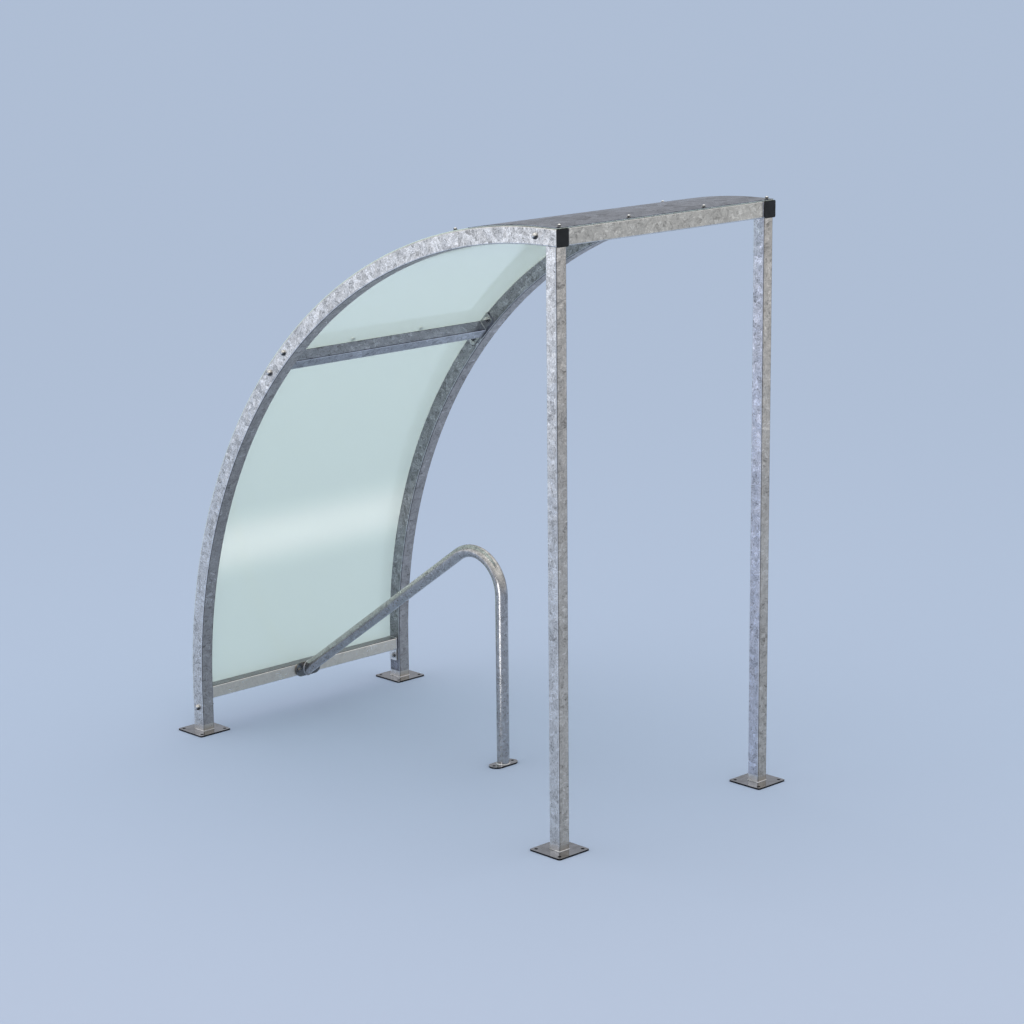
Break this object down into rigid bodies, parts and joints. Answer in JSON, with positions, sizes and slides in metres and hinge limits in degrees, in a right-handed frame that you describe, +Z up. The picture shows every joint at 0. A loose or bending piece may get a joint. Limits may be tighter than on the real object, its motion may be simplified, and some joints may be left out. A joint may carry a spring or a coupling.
{
  "type": "bike shelter",
  "caption": "Open bike shelter: bent side frames on front posts carry a clear curved roof and back sheet over a round leaning hoop.",
  "frame": {"origin": "on the ground, at the middle of the four base plates", "axes": "+Z up, -Y towards the open front, +Y towards the curved back, +X to the right seen from the front"},
  "size_m": [1.2, 2.15, 2.1849],
  "materials": {
    "galvanised_frame": "hot-dip galvanised, mottled spangle, satin",
    "galvanised_post": "hot-dip galvanised, bright mottled spangle, satin",
    "galvanised_cross": "hot-dip galvanised, fine grain, satin",
    "dark_galvanised": "weathered galvanised sheet, dark, streaky spangle",
    "hoop_steel": "hot-dip galvanised round tube, semi-gloss",
    "plate_steel": "smooth galvanised plate, glossy",
    "bright_steel": "bright cold-galvanised band, satin",
    "clear_sheet": "clear plastic sheet with a faint green tint, glossy",
    "black_plastic": "moulded black plastic, fine grain"
  },
  "bodies": {
    "root": {"frame_left": "galvanised_frame", "frame_right": "galvanised_frame", "end_cap_left": "black_plastic", "end_cap_right": "black_plastic", "post_left": "galvanised_post", "post_right": "galvanised_post", "foot_front_left": "plate_steel", "foot_front_right": "plate_steel", "foot_rear_left": "plate_steel", "foot_rear_right": "plate_steel", "stub_front_left": "bright_steel", "stub_front_right": "bright_steel", "stub_rear_left": "bright_steel", "stub_rear_right": "bright_steel", "front_beam": "galvanised_cross", "beam_flange_left": "galvanised_cross", "beam_flange_right": "galvanised_cross", "purlin": "galvanised_cross", "purlin_flange_left": "galvanised_cross", "purlin_flange_right": "galvanised_cross", "bottom_rail": "galvanised_cross", "rail_flange_left": "galvanised_cross", "rail_flange_right": "galvanised_cross", "roof_panel": "clear_sheet", "roof_cover": "dark_galvanised", "hoop_leg": "hoop_steel", "hoop_bend_tube": "hoop_steel", "hoop_slope_tube": "hoop_steel", "hoop_foot_plate": "plate_steel", "hoop_rail_plate": "plate_steel"}
  },
  "joints": []
}
